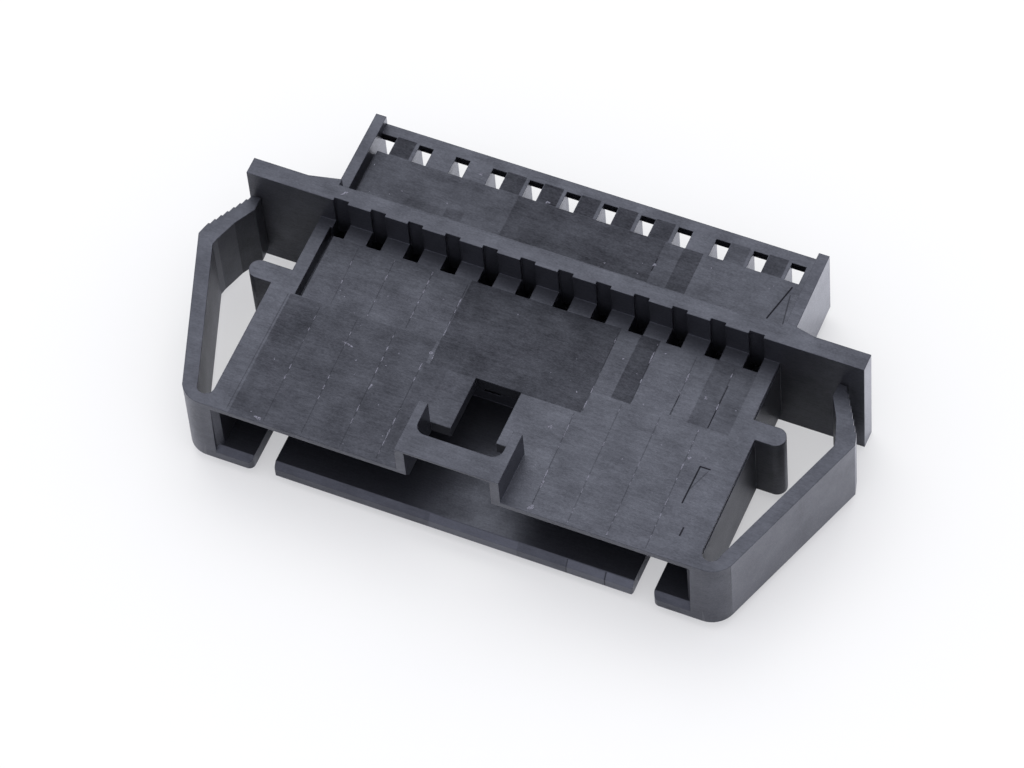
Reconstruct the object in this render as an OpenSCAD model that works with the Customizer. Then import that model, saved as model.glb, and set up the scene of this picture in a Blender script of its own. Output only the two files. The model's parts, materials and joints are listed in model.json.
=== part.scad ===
// Single-row wire connector housing, 2.54 mm pitch, that clips into a panel.
//
// One moulding.  The wires enter the low block at +Y, the mating half enters
// the shroud at -Y, and the upright flange between them seats on the panel.
// Two sprung side arms run from the front corners back to the flange; their
// serrated ends hold the panel edge.  A small hood over the shroud takes the
// latch of the mating half.
//
// Frame: X along the row, Y along the mating axis, Z up, millimetres.  The
// origin is on the resting plane, in the middle of the outside box.

/* [Circuits] */
// Number of wire circuits in the row
circuits = 12; // [4:1:24]
// Distance from one circuit to the next
pitch = 2.54; // [2:0.01:3.96]
// From the middle of an end circuit to the outer side face
end_margin = 1.53; // [1.3:0.01:3]

/* [Body] */
// Height of the body, block and shroud alike
body_h = 5.6; // [4.8:0.05:8]
// Depth of the wire block behind the panel seat
block_l = 8.5; // [7:0.1:14]
// Length of the body ahead of the panel seat
front_l = 15.74; // [14:0.1:24]
// How far the front face leans forward from its top to its foot
front_lean = 0.24; // [0:0.02:0.6]
// Where the body widens to the shroud, ahead of the seat
widen_y = 4.6; // [4:0.1:6]
// Extra width of the shroud on each side
widen_w = 0.74; // [0.3:0.02:1.5]
// Narrowing of the wire block towards its back, each side
block_taper = 0.04; // [0:0.01:0.2]
// Sideways offset of the circuits from the middle of the shroud
row_off = 0.12; // [0:0.01:0.2]
// Depth of the narrow relief along both sides of the body
relief_t = 0.15; // [0.05:0.01:0.3]
// Height of that relief
relief_h = 0.3; // [0.1:0.05:0.8]
// Drop from the roof to that relief
relief_drop = 0.12; // [0.05:0.01:0.4]

/* [Shroud] */
// Depth of the open mouth
mouth_l = 9.44; // [7:0.1:12]
// Thickness of the shroud roof
roof_t = 0.95; // [0.7:0.05:1.4]
// Thickness of the shroud floor
floor_t = 1.08; // [0.7:0.05:1.5]
// Thickness of the shroud sides
side_t = 0.66; // [0.6:0.02:1.2]
// Sideways offset of the mouth and its key slots from the shroud
mouth_off = -0.04; // [-0.2:0.01:0]
// Flat land left at the front of the roof
roof_land = 0.38; // [0.2:0.02:0.6]
// Flat land left at the front of the floor
floor_land = 0.58; // [0.2:0.02:0.8]
// Flat land left at the front of the two sides
side_land = 0.3; // [0.2:0.02:0.5]
// Depth of the lead-in slopes around the mouth
lead_l = 0.4; // [0.2:0.02:1]
// Width of the two key slots in the floor
key_w = 1.4; // [0.6:0.05:2]
// Length of the key slots
key_l = 7.24; // [3:0.1:9]
// From the middle of an end circuit in to the middle of its key slot
key_in = 1.22; // [0:0.01:3]
// Radius that eases the front corners of the key slots
key_ease = 0.4; // [0.1:0.05:0.6]
// How far the floor between the key slots stands back from the front face
tongue_back = 0.16; // [0:0.02:0.4]

/* [Flange] */
// Height of the flange
flange_h = 8.7; // [7:0.1:14]
// Thickness of the flange
flange_t = 1.2; // [0.8:0.05:2]
// How far the flange stands below the body
flange_drop = 0.86; // [0.3:0.02:1.5]
// Reach of each ear past the body side
ear_w = 5.25; // [4.5:0.05:9]
// Sideways offset of the flange from the row
flange_off = 0.3; // [0:0.05:0.5]
// Rise of the fillet webs behind the ears
web_t = 0.46; // [0.2:0.02:1]
// Length of those webs along the ear
web_w = 1.55; // [1:0.1:3]

/* [Terminal openings] */
// Width of each wire cavity
cavity_w = 2.14; // [1.4:0.02:2.16]
// Height of each wire cavity
cavity_h = 3.3; // [2.6:0.05:4]
// Thickness of the floor under the cavities
cavity_floor = 0.9; // [0.6:0.05:1.4]
// Recess of the deck between the two rails
deck_drop = 0.77; // [0.3:0.01:1.1]
// Width of the side rails
rail_w = 0.75; // [0.5:0.05:1.4]
// Width of the rear windows
window_w = 0.96; // [0.6:0.02:1.3]
// Length of the rear windows
window_l = 1.36; // [0.8:0.02:2]
// Bridge left behind each rear window
window_edge = 0.8; // [0.5:0.05:1.5]
// Sideways offset of the rear windows from their circuits
window_off = 0.22; // [0:0.01:0.3]
// Width of the lance pockets and of the notches above them
pocket_w = 1; // [0.6:0.02:1.3]
// Length of the lance pockets ahead of the flange
pocket_l = 1.12; // [0.6:0.05:1.6]
// Depth of the notches down the flange
notch_t = 0.22; // [0.1:0.01:0.4]
// Side of the square pin holes into the mouth
pin_w = 1.15; // [0.8:0.05:1.4]
// Thickness of the wall between the mouth and the cavities
wall_t = 1.5; // [1:0.1:2]
// From the block side to the groove beside the first circuit
groove_x = 0.88; // [0.6:0.02:1.2]
// Width of that groove
groove_w = 0.48; // [0.3:0.02:0.7]
// How far the groove starts ahead of the panel seat
groove_y = 6; // [4:0.1:7]
// Depth of the finer groove along the rail behind the flange
groove_t = 0.5; // [0.2:0.05:0.8]

/* [Latch hood] */
// Outside width of the hood
hood_w = 6.88; // [5:0.1:9]
// Length of the hood along the mating axis
hood_l = 3.8; // [3:0.1:5.5]
// Height of the hood above the body
hood_h = 2.18; // [1.6:0.02:3]
// Thickness of the hood legs
hood_leg = 0.6; // [0.4:0.02:1]
// Width of the front bar of the hood
bar_l = 1.62; // [1:0.05:2.2]
// Thickness of that bar
bar_t = 0.85; // [0.5:0.05:1.2]
// Width of the release slot behind the hood
stem_w = 3.04; // [2:0.02:4]
// Length of the release slot
stem_l = 4; // [2.5:0.1:6]
// Sideways offset of the hood and its slot from the shroud
latch_off = 0.08; // [0:0.01:0.2]

/* [Side arms] */
// Reach of the arm knee past the shroud side
knee_x = 5.84; // [4.8:0.02:9]
// Distance of the knee ahead of the panel seat
knee_y = 3.95; // [3.4:0.05:6]
// Reach of the arm foot past the shroud side
foot_x = 1.61; // [1.2:0.05:2.6]
// Thickness of the arms
arm_t = 0.96; // [0.8:0.02:1.8]
// Radius of the front corners
corner_r = 1.65; // [1:0.05:2.4]
// Reach of the arm tip past the shroud side
tip_x = 3.3; // [2.6:0.02:6]
// Width of the blunt arm tip
tip_w = 0.44; // [0.3:0.02:0.8]
// Length of the blunt tip, where its inner edge starts to lean
tip_l = 0.95; // [0.6:0.05:1.4]
// Distance ahead of the seat where the inner edge of the tip steepens
bend_y = 2.45; // [1.8:0.05:3]
// Ease of the inner edge on both sides of the knee
knee_ease = 0.45; // [0.2:0.05:0.8]
// Number of teeth on each arm
teeth = 8; // [4:1:10]
// Depth of each tooth
tooth_t = 0.12; // [0.06:0.01:0.2]
// Reach of the bump stops past the shroud side
stop_x = 1.78; // [1:0.02:2.6]
// Thickness of the bump stops
stop_t = 1.34; // [0.8:0.02:2]

/* [Hidden] */
$fn = 64;
eps = 0.01;

black = [0.1, 0.1, 0.11];

// Levels, from the resting plane.
z0 = flange_drop;
z1 = z0 + body_h;
z_deck = z1 - deck_drop;
z_cav0 = z0 + cavity_floor;
z_cav1 = z_cav0 + cavity_h;
z_mouth0 = z0 + floor_t;
z_mouth1 = z1 - roof_t;

// Half widths, from the middle of the row.
row = (circuits - 1) * pitch / 2;
half_block = row + end_margin;
half_shroud = half_block + widen_w;
half_mouth = half_shroud - side_t;
rail_in = half_block - rail_w;

// The tip of an arm stands just clear of the flange.
tip_y = 0.1;
// Widest point of the arms.
knee_half = half_shroud + knee_x;
foot_half = half_shroud + foot_x;
// Slope of the leaning front face, and where it meets the roof.
fall = front_lean / body_h;
face_y = front_lean - front_l;
// Lean of the arm from the mating axis.
lean = atan2(knee_half - foot_half, front_l - knee_y);
// Foot of the axis of the rounded front corner. The axis leans with the
// front face and stays parallel to the outer face of the arm.
corner_away = corner_r / cos(atan(fall));
corner_x = foot_half - (corner_r - corner_away * sin(lean)) / cos(lean);
corner_y = corner_away - front_l;
corner_turn = atan(fall * tan(lean));
// The arm measured across X.
arm_x = arm_t / cos(lean);
// Front end of the gap between arm and shroud.
gap_y = 1.3 + face_y;

// Panel seat in the part's frame: the outside box is centred on Y = 0.
seat_y = (front_l - block_l) / 2;

function circuit_x(i) = i * pitch - row;

// A profile drawn in Y and Z, swept along X between -w/2 and w/2.
module across(w) {
    rotate([90, 0, 90])
        linear_extrude(w, center = true)
            children();
}

// Both sides alike.
module both() {
    children();
    mirror([1, 0, 0])
        children();
}

// Plan of the wire block and the shroud.
module body_plan() {
    back = half_block - block_taper;
    polygon([
        [row_off - back, block_l],
        [row_off - half_block, flange_t],
        [row_off - half_block, -widen_y],
        [-half_shroud, -widen_y],
        [-half_shroud, -front_l],
        [half_shroud, -front_l],
        [half_shroud, -widen_y],
        [row_off + half_block, -widen_y],
        [row_off + half_block, flange_t],
        [row_off + back, block_l]
    ]);
}

// The serrated edge of an arm, from the knee to the tip.
run_y = knee_y - 0.5 - tip_y;
run_x = knee_x - 0.13 - tip_x - tip_w;
step_y = run_y / teeth;
step_x = run_x / teeth;
function tooth_y(i) = 0.5 - knee_y + i * step_y;
function tooth_x(i) = knee_half - 0.13 - i * step_x;
serrated = [
    for (i = [0 : teeth - 1])
        for (p = [[tooth_x(i), tooth_y(i)],
                  [tooth_x(i + 1) + tooth_t, tooth_y(i + 1)]])
            p
];

// Edge of an arm that faces the shroud, at distance y ahead of the seat.
function inner(y) = knee_half - arm_x - (y - knee_y) * tan(lean);

// Plan of one arm with its foot, without the rounded front corner.
module arm_plan() {
    polygon(concat(
        [
            [half_shroud - side_t, -front_l],
            [corner_x, -front_l],
            [corner_x, corner_y],
            [corner_x + corner_r * cos(lean), corner_y - corner_r * sin(lean)],
            [knee_half, -knee_y]
        ],
        serrated,
        [
            [half_shroud + tip_x + tip_w, -tip_y],
            [half_shroud + tip_x, -tip_y],
            [half_shroud + tip_x - 0.04, -tip_y - tip_l],
            [inner(knee_y + knee_ease) - 0.62, -bend_y],
            [inner(knee_y + knee_ease) - 0.1, -knee_y],
            [inner(knee_y + knee_ease), -knee_y - knee_ease],
            [inner(-gap_y), gap_y],
            [half_shroud - side_t, gap_y]
        ]
    ));
}

// Front end of the gap between arm and shroud, rounded, as cut out of the
// corner.
module gap_plan() {
    wide = inner(-gap_y) - half_shroud;
    back = corner_y + corner_r + 0.5;
    polygon([
        [half_shroud, gap_y],
        [inner(-gap_y), gap_y],
        [inner(-back), back],
        [half_shroud, back]
    ]);
    translate([half_shroud + wide / 2, gap_y])
        circle(wide / 2);
}

// Rounded front corner of one arm, with the gap cut clear of it.
module corner() {
    difference() {
        intersection() {
            translate([corner_x, corner_y, z0])
                rotate([-atan(fall * cos(corner_turn)), corner_turn, 0])
                    translate([0, 0, -1])
                        cylinder(body_h + 2, corner_r, corner_r);
            translate([corner_x - 2 * corner_r, -front_l - 1, z0])
                cube([4 * corner_r, 4 * corner_r, body_h]);
        }
        linear_extrude(flange_h)
            gap_plan();
    }
}

// What the leaning front face takes off the body and the arms.
module front_slope() {
    across(3 * knee_half)
        polygon([
            [-front_l - 2, z0 - 1],
            [-front_l - fall, z0 - 1],
            [face_y + fall, z1 + 1],
            [-front_l - 2, z1 + 1]
        ]);
}

// Bump stop that keeps an arm from being bent too far in.
module stop_plan() {
    mid_y = -widen_y - stop_t / 2 + 0.2;
    reach = half_shroud + stop_x - stop_t / 2;
    translate([half_block - 0.4, mid_y - stop_t / 2])
        square([reach - half_block + 0.4, stop_t]);
    translate([reach, mid_y])
        circle(stop_t / 2);
}

// Upright flange with the webs behind its ears.
module flange() {
    half = half_block + ear_w;
    translate([row_off + flange_off - half, 0, 0])
        cube([2 * half, flange_t, flange_h]);
    translate([row_off + flange_off, 0, 0])
        both()
            linear_extrude(flange_h)
                polygon([
                    [half_block - 0.6, flange_t - eps],
                    [half_block + web_w, flange_t - eps],
                    [half_block - 0.6, flange_t + web_t]
                ]);
}

// Latch hood: a front bar on two legs, open to the back.
module hood() {
    inner = hood_w / 2 - hood_leg;
    bend = 0.7;
    translate([0, 0, z1 - eps])
        linear_extrude(hood_h + eps)
            difference() {
                translate([-hood_w / 2, face_y])
                    square([hood_w, hood_l]);
                translate([-inner, bar_l + bend + face_y])
                    square([2 * inner, hood_l]);
                translate([bend - inner, bar_l + face_y])
                    square([2 * (inner - bend), hood_l]);
                both()
                    translate([inner - bend, bar_l + bend + face_y])
                        circle(bend);
            }
}

// Way for the mating latch: under the hood, through the roof.
module latch_way() {
    inner = hood_w / 2 - hood_leg;
    top = z1 + hood_h - bar_t;
    slope = bar_t - 0.15;
    across(2 * inner)
        polygon([
            [-front_l - 1, z_mouth1 - eps],
            [hood_l + 0.05 + face_y, z_mouth1 - eps],
            [hood_l + 0.05 + face_y, top],
            [slope + face_y, top],
            [face_y, top + slope],
            [-front_l - 1, top + slope]
        ]);
    translate([-stem_w / 2, hood_l + face_y, z_mouth1 - 0.2])
        cube([stem_w, stem_l, roof_t + 1]);
}

// The mouth of the shroud with its lead-in slopes on all four sides.
module mouth() {
    back = mouth_l - front_l;
    flare = side_t - side_land;
    intersection() {
        across(3 * half_shroud)
            polygon([
                [-front_l - 1, z0 + floor_land],
                [-front_l, z0 + floor_land],
                [lead_l - front_l, z_mouth0],
                [back, z_mouth0],
                [back, z_mouth1],
                [lead_l + face_y, z_mouth1],
                [face_y, z1 - roof_land],
                [-front_l - 1, z1 - roof_land]
            ]);
        linear_extrude(3 * flange_h)
            polygon([
                [-half_mouth - flare, -front_l - 1],
                [half_mouth + flare, -front_l - 1],
                [half_mouth + flare, face_y],
                [half_mouth, lead_l + face_y],
                [half_mouth, back],
                [-half_mouth, back],
                [-half_mouth, lead_l + face_y],
                [-half_mouth - flare, face_y]
            ]);
    }
}

// Everything one circuit takes out of the block, at X = 0.
module circuit_cuts() {
    front = mouth_l - front_l;
    // Wire cavity, open at the back.
    translate([-cavity_w / 2, front + wall_t, z_cav0])
        cube([cavity_w, block_l - front, cavity_h]);
    // Square pin hole through to the mouth.
    translate([-pin_w / 2, front - 0.5, (z_cav0 + z_cav1 - pin_w) / 2])
        cube([pin_w, wall_t + 1, pin_w]);
    // Rear window in the deck.
    translate([-window_off - window_w / 2, block_l - window_edge - window_l, z_cav1 - 0.3])
        cube([window_w, window_l, z1]);
    // Lance pocket ahead of the flange, and the notch down its face.
    translate([-pocket_w / 2, -pocket_l, z_cav1 - 0.3])
        cube([pocket_w, pocket_l + notch_t, flange_h]);
}

// Plan of one key slot, its mouth rounded out on both sides.
module key_plan() {
    translate([-key_w / 2, -front_l - 1])
        square([key_w, key_l + 1]);
    both()
        difference() {
            translate([key_w / 2 - eps, -front_l - 1])
                square([key_ease + eps, 1 + key_ease]);
            translate([key_w / 2 + key_ease, key_ease - front_l])
                circle(key_ease);
        }
}

// Two key slots cut into the floor from the front.
module key_slots() {
    both()
        translate([row - key_in, 0, z0 - 1])
            linear_extrude(floor_t + 1.2)
                key_plan();
}

// The floor between the key slots stands back, and its lead-in with it.
module tongue_front() {
    half = row - key_in;
    intersection() {
        translate([0, tongue_back, 0])
            front_slope();
        translate([-half, -front_l - 1, z0 - 1])
            cube([2 * half, 3, floor_t + 1]);
    }
    across(2 * half)
        polygon([
            [-front_l - 1, z0 + floor_land],
            [tongue_back - front_l, z0 + floor_land],
            [tongue_back + lead_l - front_l, z_mouth0],
            [tongue_back + lead_l - front_l, z_mouth0 + 0.1],
            [-front_l - 1, z_mouth0 + 0.1]
        ]);
}

// Narrow grooves beside the first circuit only, in the roof and in the deck.
module end_groove() {
    // In the roof, joining the first lance pocket.
    translate([groove_x - half_block, -groove_y, z1 - 1])
        cube([groove_w, groove_y - pocket_l / 2, 2]);
    // In the deck along the rail, joining the first window.
    window_y = block_l - window_edge - window_l;
    translate([-rail_in, flange_t, z_deck - groove_t])
        cube([groove_t / 2, window_y - flange_t, 1]);
    translate([-rail_in, window_y, z_cav1 - 0.3])
        cube([rail_w, window_l, z1]);
}

// Narrow relief along both sides, just under the roof.
module side_relief() {
    z_relief = z1 - relief_drop - relief_h;
    both()
        translate([half_shroud - relief_t, gap_y, z_relief])
            cube([1, -widen_y - 1.6 - gap_y, relief_h]);
    translate([row_off, 0, 0])
        both()
            translate([half_block - relief_t, -widen_y + 0.3, z_relief])
                cube([1, widen_y - 0.3, relief_h]);
}

// Body, arms and stops, with everything cut that the flange and hood keep.
module body() {
    difference() {
        union() {
            difference() {
                translate([0, 0, z0])
                    linear_extrude(body_h) {
                        body_plan();
                        both() {
                            difference() {
                                arm_plan();
                                gap_plan();
                            }
                            stop_plan();
                        }
                    }
                front_slope();
            }
            both()
                corner();
        }
        side_relief();
        // Recessed deck between the rails.
        translate([row_off - rail_in, flange_t, z_deck])
            cube([2 * rail_in, block_l, deck_drop + 1]);
    }
}

// The whole moulding, panel seat at Y = 0.
module housing_seated() {
    difference() {
        union() {
            body();
            flange();
            translate([latch_off, 0, 0])
                hood();
        }
        translate([mouth_off, 0, 0]) {
            mouth();
            tongue_front();
            key_slots();
        }
        translate([latch_off, 0, 0])
            latch_way();
        translate([row_off, 0, 0]) {
            end_groove();
            for (i = [0 : circuits - 1])
                translate([circuit_x(i), 0, 0])
                    circuit_cuts();
        }
    }
}

module housing() {
    color(black)
        translate([0, seat_y, 0])
            housing_seated();
}

housing();
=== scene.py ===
# %% [markdown]
# # A wire connector housing, dressed and lit
#
# The CAD model gives one black moulding: a wire block, a panel flange, a
# shroud with a latch hood, and two sprung side arms. This script keeps that
# solid and gives it what a moulded part has at close range: softened edges,
# the faint seams and shade steps left by the inserts of the mould, a fine
# grain, small nicks and scratches. Then it sets the floor, lights and camera.
#
# The solid could be modelled again in Blender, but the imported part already
# has its true shape, so only what a solid can't carry is added.
#
# Places and sizes on the part are in millimetres and turned into metres by
# `MM`. The frame is the part's own: X along the row of circuits, Y towards
# the wires, Z up, with the origin under the middle of the part.

import json
import math

import bpy
import numpy as np
from mathutils import Matrix, Vector


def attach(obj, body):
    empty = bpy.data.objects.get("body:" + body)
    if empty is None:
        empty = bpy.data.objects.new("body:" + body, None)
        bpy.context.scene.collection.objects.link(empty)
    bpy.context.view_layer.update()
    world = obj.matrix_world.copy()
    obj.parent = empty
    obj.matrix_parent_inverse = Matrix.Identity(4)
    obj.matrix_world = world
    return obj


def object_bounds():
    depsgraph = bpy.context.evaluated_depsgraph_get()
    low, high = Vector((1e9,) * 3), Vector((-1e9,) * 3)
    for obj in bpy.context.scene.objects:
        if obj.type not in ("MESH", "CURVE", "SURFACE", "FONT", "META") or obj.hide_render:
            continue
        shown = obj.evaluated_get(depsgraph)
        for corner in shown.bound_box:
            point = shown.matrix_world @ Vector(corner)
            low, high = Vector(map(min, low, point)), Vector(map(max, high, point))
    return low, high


MM = 0.001
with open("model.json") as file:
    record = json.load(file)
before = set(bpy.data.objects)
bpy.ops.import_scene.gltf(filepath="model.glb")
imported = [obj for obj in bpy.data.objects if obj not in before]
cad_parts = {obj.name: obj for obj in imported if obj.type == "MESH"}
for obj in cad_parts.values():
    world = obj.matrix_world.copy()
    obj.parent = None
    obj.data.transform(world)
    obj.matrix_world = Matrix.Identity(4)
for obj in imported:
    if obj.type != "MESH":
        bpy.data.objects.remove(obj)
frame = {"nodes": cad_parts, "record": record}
cad_low, cad_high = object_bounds()
housing = frame["nodes"]["housing"]
print("housing", [round(v / MM, 2) for v in (cad_high - cad_low)], "mm")

# %% [markdown]
# ## Levels and places shared by the details
#
# On the real part the marks of the mould lie in level faces: the roof of the
# shroud, the deck over the wires and the lead-in of the mouth. Their places
# could be typed as plain coordinates, but then they would miss the faces
# after a change of the part. So the seat comes from the panel mount, the
# flange's top from the part's box, and the roof and the deck are steps down
# from it; the lead-in's level is given as a plain height.
# X is counted from the middle of the row and Y from the seat, where the
# designer of the housing would count them from.

# %% Places
SEAT = next(m["pos_m"] for m in frame["record"]["mounts"] if m["name"] == "panel_seat")
SEAT_Y = SEAT[1] / MM
ROW_X = 0.12
FLANGE_Z = cad_high.z / MM
ROOF_Z = FLANGE_Z - 2.24
DECK_Z = ROOF_Z - 0.77
LIP_Z = 1.35
PITCH = 2.54
CIRCUITS = 12
ROW = (CIRCUITS - 1) * PITCH / 2
print("levels", round(FLANGE_Z, 2), round(ROOF_Z, 2), round(DECK_Z, 2), LIP_Z, "mm")

# %% [markdown]
# ## A short way to write shader arithmetic
#
# A mould leaves straight-edged patches, so most masks here are products of
# steps of the Object coordinates. They could be painted on, but paint has a
# fixed sharpness and a rectangle in formulas stays crisp at any distance.
# `Shader` wraps a node tree: each method adds its nodes and returns
# their output socket, so a mask reads like a formula.

# %% Shader arithmetic
class Shader:
    """Adds nodes to a material's tree and returns their output sockets."""

    def __init__(self, name):
        self.material = bpy.data.materials.new(name)
        self.material.use_nodes = True
        self.tree = self.material.node_tree
        self.tree.nodes.clear()

    def node(self, kind, **settings):
        """A new node of this kind, with its settings."""
        made = self.tree.nodes.new(kind)
        for key, value in settings.items():
            setattr(made, key, value)
        return made

    def feed(self, socket, value):
        """Links an output socket to this one, or sets a plain value on it."""
        if isinstance(value, bpy.types.NodeSocket):
            self.tree.links.new(value, socket)
        else:
            socket.default_value = value

    def math(self, operation, *values):
        """One Math node: operation(values)."""
        made = self.node("ShaderNodeMath", operation=operation)
        for socket, value in zip(made.inputs, values):
            self.feed(socket, value)
        return made.outputs[0]

    def product(self, *values):
        """Product of all the values."""
        result = values[0]
        for value in values[1:]:
            result = self.math("MULTIPLY", result, value)
        return result

    def total(self, *values):
        """Sum of all the values."""
        result = values[0]
        for value in values[1:]:
            result = self.math("ADD", result, value)
        return result

    def remap(self, value, low, high, to_low=0.0, to_high=1.0):
        """Straight line from (low, to_low) to (high, to_high), held at the ends."""
        made = self.node("ShaderNodeMapRange", clamp=True)
        for socket, v in zip(made.inputs, (value, low, high, to_low, to_high)):
            self.feed(socket, v)
        return made.outputs[0]

    def between(self, value, low, high, soft):
        """1 where low < value < high, falling to 0 over `soft` at each end."""
        half = (high - low) / 2
        off = self.math("ABSOLUTE", self.math("SUBTRACT", value, (low + high) / 2))
        return self.remap(off, half - soft / 2, half + soft / 2, 1.0, 0.0)

    def noise(self, vector, scale, detail=3.0, stretch=(1, 1, 1), rough=0.5):
        """Noise in 0..1 with `scale` cells a millimetre, drawn out along one axis."""
        mapping = self.node("ShaderNodeMapping")
        self.feed(mapping.inputs["Vector"], vector)
        mapping.inputs["Scale"].default_value = [s * scale / MM for s in stretch]
        made = self.node("ShaderNodeTexNoise")
        self.feed(made.inputs["Vector"], mapping.outputs[0])
        made.inputs["Scale"].default_value = 1.0
        made.inputs["Detail"].default_value = detail
        made.inputs["Roughness"].default_value = rough
        return made.outputs["Fac"]

    def seat_axes(self, place):
        """x, y and z of a point, in mm, from the row's middle and the seat."""
        split = self.node("ShaderNodeSeparateXYZ")
        self.feed(split.inputs[0], place)
        x, y, z = (self.math("MULTIPLY", out, 1 / MM) for out in split.outputs)
        return self.math("SUBTRACT", x, ROW_X), self.math("SUBTRACT", y, SEAT_Y), z

    def stroke(self, x, y, start, end, width):
        """1 on the straight stroke from start to end, 0 off it, in the XY plane."""
        long = math.dist(start, end)
        ux, uy = (end[0] - start[0]) / long, (end[1] - start[1]) / long
        dx = self.math("SUBTRACT", x, start[0])
        dy = self.math("SUBTRACT", y, start[1])
        along = self.math("ADD", self.math("MULTIPLY", dx, ux), self.math("MULTIPLY", dy, uy))
        off = self.math("SUBTRACT", self.math("MULTIPLY", dx, uy), self.math("MULTIPLY", dy, ux))
        inside = self.between(along, 0.0, long, 0.05)
        return self.product(inside, self.between(off, -width / 2, width / 2, width / 2))

    def blend_colours(self, factor, first, second):
        """Colour that goes from the first to the second as the factor goes from 0 to 1."""
        made = self.node("ShaderNodeMix", data_type="RGBA")
        for place, value in ((0, factor), (6, first), (7, second)):
            self.feed(made.inputs[place], value)
        return made.outputs[2]

    def finish(self, surface):
        """Puts the surface on the material's output and returns the material."""
        out = self.node("ShaderNodeOutputMaterial")
        self.feed(out.inputs["Surface"], surface)
        return self.material


print("shader helper ready")

# %% [markdown]
# ## Fields that the mould's inserts left
#
# The mould of such a housing is built from inserts, each ground a little
# differently. On the part that leaves rectangular fields on the roof and on
# the deck, one a little duller than the next, with straight edges. They could
# be separate faces with materials of their own, but the solid stays as the
# CAD model made it. So each field is a product of steps in x, y and z, which
# keeps it in its place on the part from wherever it is seen.

# %% Fields that the mould inserts left
# Each field: x from, x to, y from, y to in mm from the row's middle and the
# seat, then the level, and how much duller (+) or brighter (-) it is.
FIELDS = [
    # Roof, next to the flange.
    (-14.2, -4.65, -6.05, -1.15, ROOF_Z, 0.15),
    (-4.65, 5.45, -7.75, -1.1, ROOF_Z, 0.42),
    (5.45, 6.75, -6.05, -1.1, ROOF_Z, 0.12),
    (6.75, 8.05, -6.05, -1.1, ROOF_Z, 0.48),
    (11.8, 13.15, -6.05, -1.1, ROOF_Z, 0.22),
    (13.15, 14.5, -6.05, -1.1, ROOF_Z, 0.18),
    # Roof, towards the front.
    (-14.85, -4.9, -15.5, -6.05, ROOF_Z, 0.26),
    (-14.85, -12.7, -9.7, -6.05, ROOF_Z, 0.10),
    (-4.9, -3.4, -15.5, -7.75, ROOF_Z, 0.31),
    (-3.4, -1.4, -12.0, -7.75, ROOF_Z, 0.24),
    (3.4, 5.2, -15.5, -7.75, ROOF_Z, -0.04),
    # Deck.
    (-14.6, -4.7, 3.1, 6.35, DECK_Z, 0.24),
    (-4.7, 5.3, 3.1, 6.35, DECK_Z, 0.45),
    (5.3, 6.55, 1.3, 6.35, DECK_Z, 0.24),
    (6.55, 7.85, 3.1, 6.35, DECK_Z, 0.50),
    (7.85, 14.3, 3.1, 6.35, DECK_Z, 0.09),
    (-11.2, -10.0, 3.2, 3.9, DECK_Z, 0.10),
    (-8.6, -7.4, 3.2, 3.9, DECK_Z, 0.18),
    # Lead-in of the mouth's floor, which shows the inserts' ends.
    (-1.7, 4.2, -16.2, -14.6, LIP_Z, -0.36),
    (4.2, 7.5, -16.2, -14.6, LIP_Z, -0.08),
    (7.5, 10.05, -16.2, -14.6, LIP_Z, -0.50),
    (10.05, 12.4, -16.2, -14.6, LIP_Z, -0.58),
]
# Duller patches between the rear windows: the circuit on their left, and how
# much duller they are.
BRIDGES = [
    (0, 0.58), (3, 0.52), (4, 0.62), (5, 0.50), (6, 0.56), (7, 0.46), (9, 0.26), (10, 0.50),
]
BRIDGE_START, BRIDGE_WIDE = 0.3, 1.3
for circuit, dull in BRIDGES:
    left = circuit * PITCH - ROW + BRIDGE_START
    FIELDS.append((left, left + BRIDGE_WIDE, 6.37, 7.8, DECK_Z, dull))
FIELD_EDGE = 0.06


def dull_fields(s, x, y, on_level):
    """Sum over the fields of inside in x * inside in y * on the level * dullness."""
    parts = []
    for x0, x1, y0, y1, level, amount in FIELDS:
        in_x, in_y = s.between(x, x0, x1, FIELD_EDGE), s.between(y, y0, y1, FIELD_EDGE)
        parts.append(s.product(in_x, in_y, on_level[level], amount))
    return s.total(*parts)


print(len(FIELDS), "fields")

# %% [markdown]
# ## Lines on the plastic
#
# Where two inserts meet, or where something sharp touched the part, the real
# surface has a thin dark line. It could be a groove cut into the mesh, but it
# is only a few hundredths of a millimetre deep, so a shader line looks the
# same and leaves the solid whole. Each line is a straight stroke in a level
# face: a band around the line through two points, cut off at both ends.

# %% Dark lines
# Each line: x and y of one end, x and y of the other, the level, the width in
# mm and how dark it is.
LINES = [
    (14.42, -8.72, 13.72, -8.72, ROOF_Z, 0.09, 0.9),
    (13.75, -8.72, 13.70, -11.55, ROOF_Z, 0.09, 0.9),
    (14.35, -8.85, 13.78, -10.4, ROOF_Z, 0.07, 0.3),
    (14.45, -13.1, 14.43, -13.75, ROOF_Z, 0.10, 0.85),
    (13.15, -2.7, 13.13, -6.0, ROOF_Z, 0.07, 0.6),
    (10.62, -4.4, 10.6, -5.9, ROOF_Z, 0.06, 0.5),
    (13.95, 6.0, 13.3, 3.25, DECK_Z, 0.10, 0.9),
    (14.05, 5.4, 14.4, 3.2, DECK_Z, 0.07, 0.45),
    (5.3, 5.0, 5.28, 4.0, DECK_Z, 0.08, 0.6),
    (-15.0, -6.1, -15.05, -15.3, ROOF_Z, 0.07, 0.25),
    (7.5, -16.2, 7.5, -14.6, LIP_Z, 0.07, 0.5),
    (10.05, -16.2, 10.05, -14.6, LIP_Z, 0.09, 0.7),
]
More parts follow.
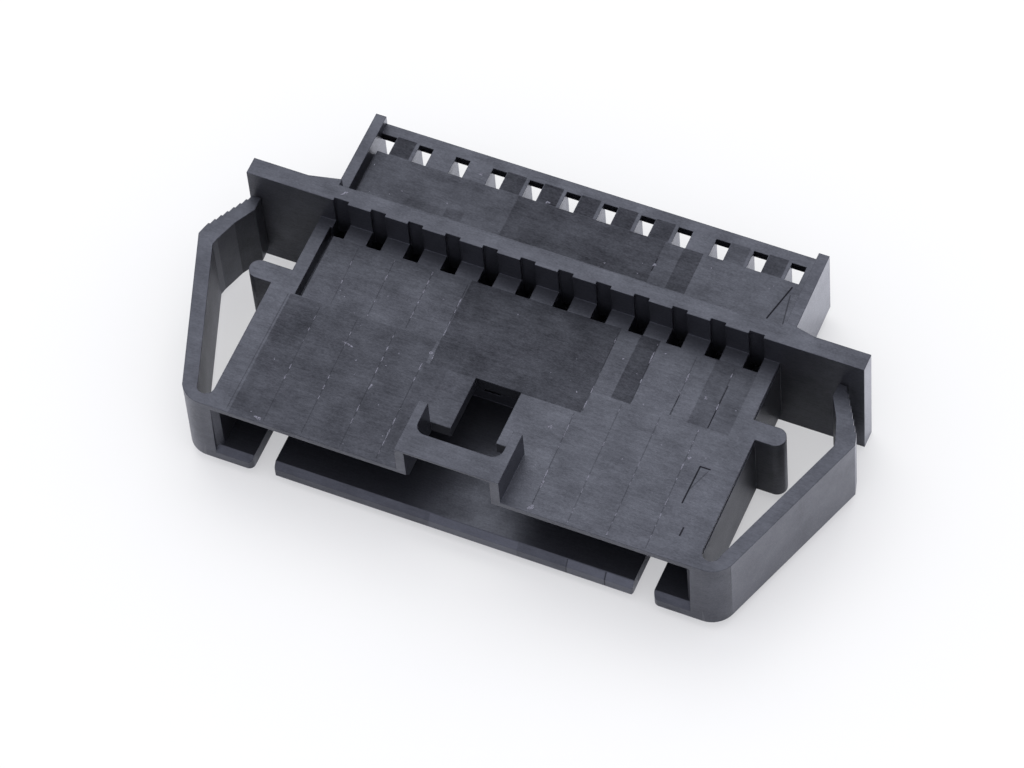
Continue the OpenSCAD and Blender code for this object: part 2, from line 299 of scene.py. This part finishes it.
# Seams in front of and behind the cross seam, as x, y from, y to, and the
# share of the flash on it that is left.
SEAMS = [
    (-12.55, -15.3, -6.3, 0.23), (-10.0, -15.3, -6.3, 0.33), (-7.4, -15.3, -6.3, 0.40),
    (-4.95, -15.3, -7.9, 0.56), (5.25, -15.3, -7.9, 0.62), (7.75, -15.3, -6.3, 0.33),
    (10.3, -15.3, -6.3, 0.43), (12.85, -15.3, -6.3, 0.49),
    (-12.2, -5.9, -1.4, 0.17), (-9.7, -5.9, -1.4, 0.43), (-7.1, -5.9, -1.4, 0.49),
    (-4.65, -7.6, -1.4, 0.62), (5.5, -7.6, -1.4, 0.40), (8.05, -5.9, -1.4, 0.40),
    (10.65, -5.9, -1.4, 0.33), (13.15, -5.9, -1.4, 0.20),
]
# The seams lean this much in x for each millimetre in y.
SEAM_LEAN = -0.02
SEAM_WIDE = 0.06
for x, y0, y1, keep in SEAMS:
    end_x = x + SEAM_LEAN * (y1 - y0)
    LINES.append((x, y0, end_x, y1, ROOF_Z, SEAM_WIDE, 0.15 + 0.3 * keep))


def dark_lines(s, x, y, on_level):
    """Sum over the lines of on the stroke * on the level * darkness."""
    parts = []
    for x0, y0, x1, y1, level, width, amount in LINES:
        stroke = s.stroke(x, y, (x0, y0), (x1, y1), width)
        parts.append(s.product(stroke, on_level[level], amount))
    return s.total(*parts)


print(len(LINES), "dark lines")

# %% [markdown]
# ## Painted shade in the release slot, painted sheen on the side faces
#
# Inside the release slot the real part lies in shade, so the sheen there is cut
# down: painted shade. The faces that look along X are made to mirror more, a
# stronger and smoother reflection that paints on them the brighter light they
# show. Both could be set face by face, but a rule on place and direction needs
# no list of faces: the slot is a block in x, y and z, and a side face is one
# whose normal lies nearly along X.

# %% Release slot and side faces
# Painted shade: the share of the sheen that is left inside the release slot.
SLOT_SHADED_SHEEN = 0.3
# Painted sheen: the extra reflection on the faces that look along X.
SIDE_PAINTED_SHEEN = 0.80
SIDE_FROM, SIDE_FULL = 0.91, 0.998


def painted_slot_shade(s, x, y, z):
    """Painted shade: share of the sheen that is left, low in the slot's block, 1 elsewhere."""
    block = s.product(
        s.between(x, -3.1, 3.2, 0.05),
        s.between(y, -13.0, -7.2, 0.05),
        s.between(z, 2.4, ROOF_Z - 0.05, 0.05),
    )
    return s.remap(block, 0.0, 1.0, 1.0, SLOT_SHADED_SHEEN)


def painted_side_sheen(s):
    """Painted sheen: extra reflection where the face's normal lies along X, 0 where it doesn't.
    """
    facing = s.node("ShaderNodeSeparateXYZ")
    s.feed(facing.inputs[0], s.node("ShaderNodeNewGeometry").outputs["True Normal"])
    along_x = s.math("ABSOLUTE", facing.outputs[0])
    return s.remap(along_x, SIDE_FROM, SIDE_FULL, 0.0, SIDE_PAINTED_SHEEN)


print("slot keeps", SLOT_SHADED_SHEEN, "of the sheen, side faces gain", SIDE_PAINTED_SHEEN)

# %% [markdown]
# ## Softened edges and a fine relief
#
# No moulded edge is sharp, and the ground mould leaves a fine grain. The
# edges could be rounded with a Bevel modifier, but that would change the
# solid, so the Bevel node only turns the shading over the radius of a real
# moulded edge. The relief on top is a bump: grain stands up, the duller
# fields and the dark lines lie a little lower.

# %% Edges and relief
EDGE_RADIUS = 0.07 * MM
RELIEF_DEEP = 0.02 * MM


def soft_relief(s, grain, fields, lines):
    """Normal of a bump with height grain - 1.5 fields - 2 lines, over a bevelled edge."""
    bevel = s.node("ShaderNodeBevel", samples=4)
    bevel.inputs["Radius"].default_value = EDGE_RADIUS
    bump = s.node("ShaderNodeBump")
    bump.inputs["Strength"].default_value = 0.35
    bump.inputs["Distance"].default_value = RELIEF_DEEP
    height = s.total(grain, s.product(fields, -1.5), s.product(lines, -2.0))
    s.feed(bump.inputs["Height"], height)
    s.feed(bump.inputs["Normal"], bevel.outputs[0])
    return bump.outputs[0]


print("edges of", EDGE_RADIUS / MM, "mm")

# %% [markdown]
# ## The black plastic
#
# Plastic moulded black is nearly black in itself. What lights it up is its
# sheen: a level face mirrors the bright room in a broad, soft way. A grey
# base colour could give the same shade, but it would stay grey in the mouth
# and the slots, where the real part is black. So `sheen` carries the shade:
# it is 1 on a plain face, fields and lines take some of it away, and streaks,
# grain and clouds vary it, drawn out along X as the mould was ground. The
# release slot's painted shade takes more of it away. It drives the
# reflection, a little of the base colour and, the other way round, the
# roughness. The side faces' painted sheen adds to the reflection and lowers
# their roughness, and a blue tint on the reflection paints the cool colour
# of the room's light.

# %% Black plastic
BASE = (0.0045, 0.0046, 0.0056, 1)
# Base colour at low sheen: on the duller fields and in the painted shade of the release slot.
BASE_DULL_AND_SHADED = (0.003, 0.0031, 0.0038, 1)
# Painted light colour: the blue tint on the reflections stands in for the cool light of the
# room.
COOL_LIGHT_TINT = (0.86, 0.90, 1.0, 1)
LEVEL_GLOSS = 0.57
PLASTIC_IOR = 1.52
LINE_SHEEN = 0.05


def black_plastic():
    """Principled plastic whose reflection, colour and roughness follow `sheen`."""
    s = Shader("black_plastic")
    place = s.node("ShaderNodeTexCoord").outputs["Object"]
    x, y, z = s.seat_axes(place)
    on_level = {
        level: s.between(z, level - reach, level + reach, 0.02)
        for level, reach in ((ROOF_Z, 0.1), (DECK_Z, 0.1), (LIP_Z, 0.55))
    }
    fields = dull_fields(s, x, y, on_level)
    lines = dark_lines(s, x, y, on_level)

    streaks = s.noise(place, 5.0, detail=5.0, stretch=(0.12, 1.0, 1.0), rough=0.65)
    grain = s.noise(place, 14.0, detail=3.0, stretch=(0.45, 1.0, 1.0), rough=0.6)
    cloud = s.noise(place, 0.5, detail=4.0, rough=0.6)
    sheen = s.total(
        1.0,
        s.product(fields, -1.0),
        s.remap(streaks, 0.3, 0.7, -0.10, 0.10),
        s.remap(grain, 0.3, 0.7, -0.14, 0.14),
        s.remap(cloud, 0.3, 0.7, -0.15, 0.15),
    )
    # The release slot's painted shade cuts the sheen there.
    sheen = s.product(sheen, s.remap(lines, 0.0, 1.0, 1.0, LINE_SHEEN), painted_slot_shade(s, x, y, z))
    # Painted sheen: a stronger, smoother reflection on the faces that look along X.
    side = painted_side_sheen(s)

    bsdf = s.node("ShaderNodeBsdfPrincipled")
    # The reflection is tinted blue, a painted colour of the room's light.
    bsdf.inputs["Specular Tint"].default_value = COOL_LIGHT_TINT
    bsdf.inputs["IOR"].default_value = PLASTIC_IOR
    s.feed(
        bsdf.inputs["Base Color"],
        s.blend_colours(s.remap(sheen, 0.3, 1.1), BASE_DULL_AND_SHADED, BASE),
    )
    rough = s.remap(sheen, 0.2, 1.3, 0.62, 0.42)
    s.feed(bsdf.inputs["Roughness"], s.math("SUBTRACT", rough, s.product(side, 0.2)))
    gloss = bsdf.inputs["Specular IOR Level"]
    gloss.default_value = LEVEL_GLOSS
    s.feed(gloss, s.total(s.product(sheen, LEVEL_GLOSS), side))
    s.feed(bsdf.inputs["Normal"], soft_relief(s, grain, fields, lines))
    return s.finish(bsdf.outputs[0])


plastic = black_plastic()
housing.data.materials.clear()
housing.data.materials.append(plastic)
print(len(plastic.node_tree.nodes), "nodes in the black plastic")

# %% [markdown]
# ## Worn plastic
#
# Flash, nicks and rubbed spots are the same plastic, torn or scraped. The
# torn surface scatters light, so it looks pale grey. It could be a paler
# patch in the black plastic, but the torn bits stand up and catch the light
# on their own, so they are small pieces with this rough material.

# %% Worn plastic
WORN_DARK = (0.02, 0.02, 0.024, 1)
WORN_PALE = (0.15, 0.15, 0.17, 1)


def worn_plastic():
    """Rough plastic that changes between two greys with a fine grain."""
    s = Shader("worn_plastic")
    place = s.node("ShaderNodeTexCoord").outputs["Object"]
    grain = s.noise(place, 16.0, detail=3.0)
    bsdf = s.node("ShaderNodeBsdfPrincipled")
    s.feed(
        bsdf.inputs["Base Color"],
        s.blend_colours(s.remap(grain, 0.35, 0.65), WORN_DARK, WORN_PALE),
    )
    bsdf.inputs["Roughness"].default_value = 0.7
    return s.finish(bsdf.outputs[0])


worn = worn_plastic()
print(len(worn.node_tree.nodes), "nodes in the worn plastic")

# %% [markdown]
# ## From rows of points to a piece
#
# Flash and nicks are dozens of tiny bits that all ride on the housing. Each
# could be an object of its own, but one object for each kind is easier to
# handle, so their points and faces are put one behind the other. All faces
# look up, away from the plastic.

# %% Faces and joining
def strip_faces(rows, columns):
    """Quads of a grid of points, turned so that they look up: x grows along a row."""
    index = np.arange(rows * columns).reshape(rows, columns)
    corners = (index[:-1, :-1], index[:-1, 1:], index[1:, 1:], index[1:, :-1])
    return np.stack(corners, axis=-1).reshape(-1, 4).tolist()


def disc_faces(rings, spokes):
    """Faces of a closed disc, looking up: point 0 is its middle, then ring after ring."""
    index = 1 + np.arange(rings * spokes).reshape(rings, spokes)
    ahead = np.roll(index, -1, axis=1)
    middle = np.stack([np.zeros(spokes, int), index[0], ahead[0]], axis=-1)
    around = np.stack([index[:-1], index[1:], ahead[1:], ahead[:-1]], axis=-1)
    return middle.tolist() + around.reshape(-1, 4).tolist()


def joined_piece(name, parts, material):
    """One object from many (points, faces) parts, riding on the housing."""
    points, faces = [], []
    for part_points, part_faces in parts:
        start = sum(len(block) for block in points)
        points.append(part_points)
        faces += [[corner + start for corner in face] for face in part_faces]
    mesh = bpy.data.meshes.new(name)
    mesh.from_pydata(np.concatenate(points).tolist(), [], faces)
    mesh.materials.append(material)
    mesh.shade_smooth()
    made = bpy.data.objects.new(name, mesh)
    bpy.context.collection.objects.link(made)
    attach(made, "root")
    return made


# The rim of each bit starts this far under the surface, so no edge floats.
SUNK = 0.004


def in_part(x, y, z):
    """Points given in mm from the row's middle and the seat, in the part's frame."""
    return np.stack([x + ROW_X, y + SEAT_Y, z], axis=-1) * MM


print("joins many small bits into one piece")

# %% [markdown]
# ## Flash along the seams of the inserts
#
# Molten plastic creeps a few hundredths of a millimetre into the joints
# between the inserts and stands up as a broken ridge, later partly rubbed
# off. It could be a row of small random blocks, but real flash swells and
# fades along its seam. So each ridge is a strip on a grid: along the seam
# runs `t`, across it runs `s`, and the height is a half cosine across, times
# a rough profile along that falls to nothing where the ridge is rubbed off.

# %% Ridges of flash
RIDGE_WIDE, RIDGE_HIGH = 0.10, 0.03
ROWS_PER_MM, COLUMNS = 9, 5


def rough_profile(t, seed, keep):
    """Sum of five sines of random phase, cut off so that about `keep` of it stays."""
    draw = np.random.default_rng(seed)
    waves = draw.uniform(0.8, 9.0, 5)
    phases = draw.uniform(0, 2 * np.pi, 5)
    value = np.sin(t[:, None] * waves + phases).sum(axis=1)
    edge = np.quantile(value, 1 - keep)
    return np.clip((value - edge) / (value.max() - edge + 1e-9), 0, 1)


def ridge(x_mm, y0, y1, z_mm, seed, keep):
    """Strip from y0 to y1: z = level + height * profile(t) * cos(pi s), |s| < 1/2."""
    t = np.linspace(y0, y1, max(8, int(abs(y1 - y0) * ROWS_PER_MM)))
    s = np.linspace(-0.5, 0.5, COLUMNS)
    profile = rough_profile(t, seed, keep)
    wide = RIDGE_WIDE * (0.25 + 0.75 * profile[:, None])
    x = x_mm + SEAM_LEAN * (t[:, None] - y0) + s * wide
    y = np.repeat(t[:, None], COLUMNS, axis=1)
    z = z_mm - SUNK + RIDGE_HIGH * profile[:, None] * np.cos(np.pi * s)
    return in_part(x, y, z).reshape(-1, 3), strip_faces(len(t), COLUMNS)


ridges = [
    ridge(x, y0, y1, ROOF_Z, 40 + i, keep) for i, (x, y0, y1, keep) in enumerate(SEAMS)
]
flash = joined_piece("seam_flash", ridges, worn)
print("flash on", len(SEAMS), "seams,", len(flash.data.polygons), "faces")

# %% [markdown]
# ## Nicks and specks
#
# Small torn spots lie on the roof, the deck and the front edges of a handled
# part. They could be dots in the shader, but a dot has no height to catch the
# light. Each is a low bump, an ellipse seen from above: with angle `a` and
# radius `r` from 0 to 1 its height is `1 - r^2`, and its rim wobbles with two
# sines of `a`. One middle point and full rings leave no seam and no open pole.

# %% Nicks
SPOKES, RINGS = 16, 3
WOBBLE = 0.22


def nick(x_mm, y_mm, z_mm, long, wide, turn_deg, high, seed):
    """Low bump: z = level + high * (1 - r^2), rim 1 + 0.22 sin(2a + p) + 0.22 sin(3a + q)."""
    draw = np.random.default_rng(seed)
    p, q = draw.uniform(0, 6), draw.uniform(0, 6)
    a = np.arange(SPOKES) * 2 * np.pi / SPOKES
    r = np.arange(1, RINGS + 1)[:, None] / RINGS
    rim = 1 + WOBBLE * np.sin(2 * a + p) + WOBBLE * np.sin(3 * a + q)
    u = np.append(0, r * rim * np.cos(a)) * long / 2
    v = np.append(0, r * rim * np.sin(a)) * wide / 2
    turn = math.radians(turn_deg)
    x = x_mm + u * math.cos(turn) - v * math.sin(turn)
    y = y_mm + u * math.sin(turn) + v * math.cos(turn)
    z = z_mm - SUNK + high * (1 - np.append(0, r * np.ones_like(a)) ** 2)
    return in_part(x, y, z), disc_faces(RINGS, SPOKES)


# Each nick: x, y, z, length, width, turn in degrees, height.
NICKS = [
    (-9.95, -8.25, ROOF_Z, 0.75, 0.14, -10, 0.03),
    (4.1, -9.35, ROOF_Z, 0.32, 0.26, 20, 0.04),
    (5.25, -15.1, ROOF_Z, 0.5, 0.3, 70, 0.04),
    (5.25, -13.3, ROOF_Z, 0.6, 0.14, 85, 0.03),
    (-7.4, -10.6, ROOF_Z, 0.4, 0.16, 80, 0.03),
    (-12.95, -15.2, ROOF_Z, 0.5, 0.2, 0, 0.03),
    (-4.9, -7.0, ROOF_Z, 0.3, 0.2, 60, 0.03),
    (12.2, -4.0, ROOF_Z, 0.24, 0.2, 0, 0.03),
    (12.9, -8.4, ROOF_Z, 0.26, 0.2, 0, 0.03),
    (-2.8, 6.5, DECK_Z, 0.3, 0.2, 30, 0.03),
    (-7.6, 7.0, DECK_Z, 0.3, 0.16, 0, 0.03),
    (5.3, 4.5, DECK_Z, 0.26, 0.2, 0, 0.03),
    (-14.0, 0.75, FLANGE_Z, 0.5, 0.2, 40, 0.02),
]
marks = [nick(*where, seed=90 + i) for i, where in enumerate(NICKS)]

print(len(marks), "nicks")

# %% Specks the size of dust, thrown over the roof and the deck
SPECKS = 60
ON_ROOF = 0.72
throw = np.random.default_rng(7)
for i in range(SPECKS):
    on_roof = throw.random() < ON_ROOF
    x = throw.uniform(-14.4, 14.4)
    y = throw.uniform(-15.2, -1.3) if on_roof else throw.uniform(1.6, 6.1)
    size = throw.uniform(0.04, 0.11)
    turn = throw.uniform(0, 180)
    over_slot = abs(x) < 3.6 and -15.5 < y < -7.4
    if on_roof and over_slot:
        continue
    level = ROOF_Z if on_roof else DECK_Z
    marks.append(nick(x, y, level, size * 1.4, size, turn, 0.02, seed=200 + i))
specks = joined_piece("nicks_and_specks", marks, worn)
print(len(marks), "nicks and specks,", len(specks.data.polygons), "faces")

# %% [markdown]
# ## Floor
#
# The part lies on a white table. More light would make the table white, but
# it would also wash out the black plastic. So only a camera ray meets a mix
# of the table and a plain white, while the light that the part gets from the
# table stays as it is. The soft contact shadows show, and the sheet beyond
# them is clean.

# %% Floor
PLAIN_WHITE = 0.45
TABLE_GIVES = (0.94, 0.94, 0.90, 1)
TABLE_SHOWS = (0.60, 0.60, 0.535, 1)
CLEAN_SHEET = (0.96, 0.96, 0.99, 1)
TABLE_HALF = 1.2


def floor_material():
    """Diffuse table; a camera ray also sees part of a plain white on top."""
    s = Shader("white_table")
    ray = s.node("ShaderNodeLightPath").outputs["Is Camera Ray"]
    diffuse = s.node("ShaderNodeBsdfDiffuse")
    s.feed(diffuse.inputs["Color"], s.blend_colours(ray, TABLE_GIVES, TABLE_SHOWS))
    white = s.node("ShaderNodeEmission")
    white.inputs["Color"].default_value = CLEAN_SHEET
    white.inputs["Strength"].default_value = 1.0
    blend = s.node("ShaderNodeMixShader")
    s.feed(blend.inputs[0], s.product(ray, PLAIN_WHITE))
    s.feed(blend.inputs[1], diffuse.outputs[0])
    s.feed(blend.inputs[2], white.outputs[0])
    return s.finish(blend.outputs[0])


def flat_square(name, half, z, material):
    """Level square about the origin, one face that looks up."""
    mesh = bpy.data.meshes.new(name)
    corners = [(-half, -half, z), (half, -half, z), (half, half, z), (-half, half, z)]
    mesh.from_pydata(corners, [], [(0, 1, 2, 3)])
    mesh.materials.append(material)
    made = bpy.data.objects.new(name, mesh)
    bpy.context.collection.objects.link(made)
    return made


floor = flat_square("floor", TABLE_HALF, 0.0, floor_material())
print("floor", 2 * TABLE_HALF, "m wide")

# %% [markdown]
# ## Light
#
# Black plastic shows its shape by what it mirrors. A hard lamp would leave
# one bright spot and black faces, so a broad soft box stands above and behind
# the part, in the place that every level face mirrors into the camera. A
# weaker box overhead and pale, slightly blue surroundings fill the rest.

# %% Lights
def soft_box(name, place_mm, size, power, colour):
    """Rectangular lamp at a place, turned to face the origin."""
    lamp = bpy.data.lights.new(name, "AREA")
    lamp.shape = "RECTANGLE"
    lamp.size, lamp.size_y = size
    lamp.energy = power
    lamp.color = colour
    made = bpy.data.objects.new(name, lamp)
    made.location = Vector(place_mm) * MM
    made.rotation_mode = "QUATERNION"
    made.rotation_quaternion = (-Vector(place_mm)).normalized().to_track_quat("-Z", "Y")
    bpy.context.collection.objects.link(made)


soft_box("back_box", (-160, 330, 520), (0.55, 0.42), 1.8, (0.97, 0.98, 1.0))
soft_box("top_box", (80, -120, 620), (0.5, 0.5), 1.0, (1, 1, 1))
print("two soft boxes")

# %% Surroundings
world = bpy.data.worlds.new("studio")
bpy.context.scene.world = world
world.use_nodes = True
background = world.node_tree.nodes["Background"]
background.inputs["Color"].default_value = (0.83, 0.835, 1.0, 1)
background.inputs["Strength"].default_value = 1.52
print("surroundings at", background.inputs["Strength"].default_value)

# %% [markdown]
# ## Camera
#
# The camera looks down at 57 degrees from the front right, with a long lens
# and a small roll. It could be aimed with a constraint, but the roll would
# then need a second step. So its back, right and up directions are worked out
# from the angles:
#
# `back = (sin a cos e, -cos a cos e, sin e)`, `right = (cos a, sin a, 0)`,
# `up = back x right`, both last ones then turned by the roll about `back`.

# %% Camera
AZIMUTH, ELEVATION, ROLL = 28.071, 56.694, -5.928
DISTANCE_MM, LENS = 335.348, 193.26
AIM_MM = (1.506, -4.993, 8.7)

a, e, turn = (math.radians(v) for v in (AZIMUTH, ELEVATION, ROLL))
back = Vector((math.sin(a) * math.cos(e), -math.cos(a) * math.cos(e), math.sin(e)))
right = Vector((math.cos(a), math.sin(a), 0))
up = back.cross(right)
right, up = (
    right * math.cos(turn) + up * math.sin(turn),
    up * math.cos(turn) - right * math.sin(turn),
)
lens = bpy.data.cameras.new("camera")
lens.sensor_width = 36
lens.lens = LENS
lens.clip_start, lens.clip_end = 0.01, 10
camera = bpy.data.objects.new("camera", lens)
spot = (Vector(AIM_MM) + back * DISTANCE_MM) * MM
camera.matrix_world = Matrix.Translation(spot) @ Matrix(
    (
        (right.x, up.x, back.x, 0),
        (right.y, up.y, back.y, 0),
        (right.z, up.z, back.z, 0),
        (0, 0, 0, 1),
    )
)
bpy.context.collection.objects.link(camera)
bpy.context.scene.camera = camera
bpy.context.scene.view_settings.view_transform = "Standard"
print("camera at", [round(v, 4) for v in spot])

# %% [markdown]
# ## End of the scene
#
# The CAD model's box is printed near the top; the box with the added pieces
# is not measured.

# %% End of the scene
print("scene set up")
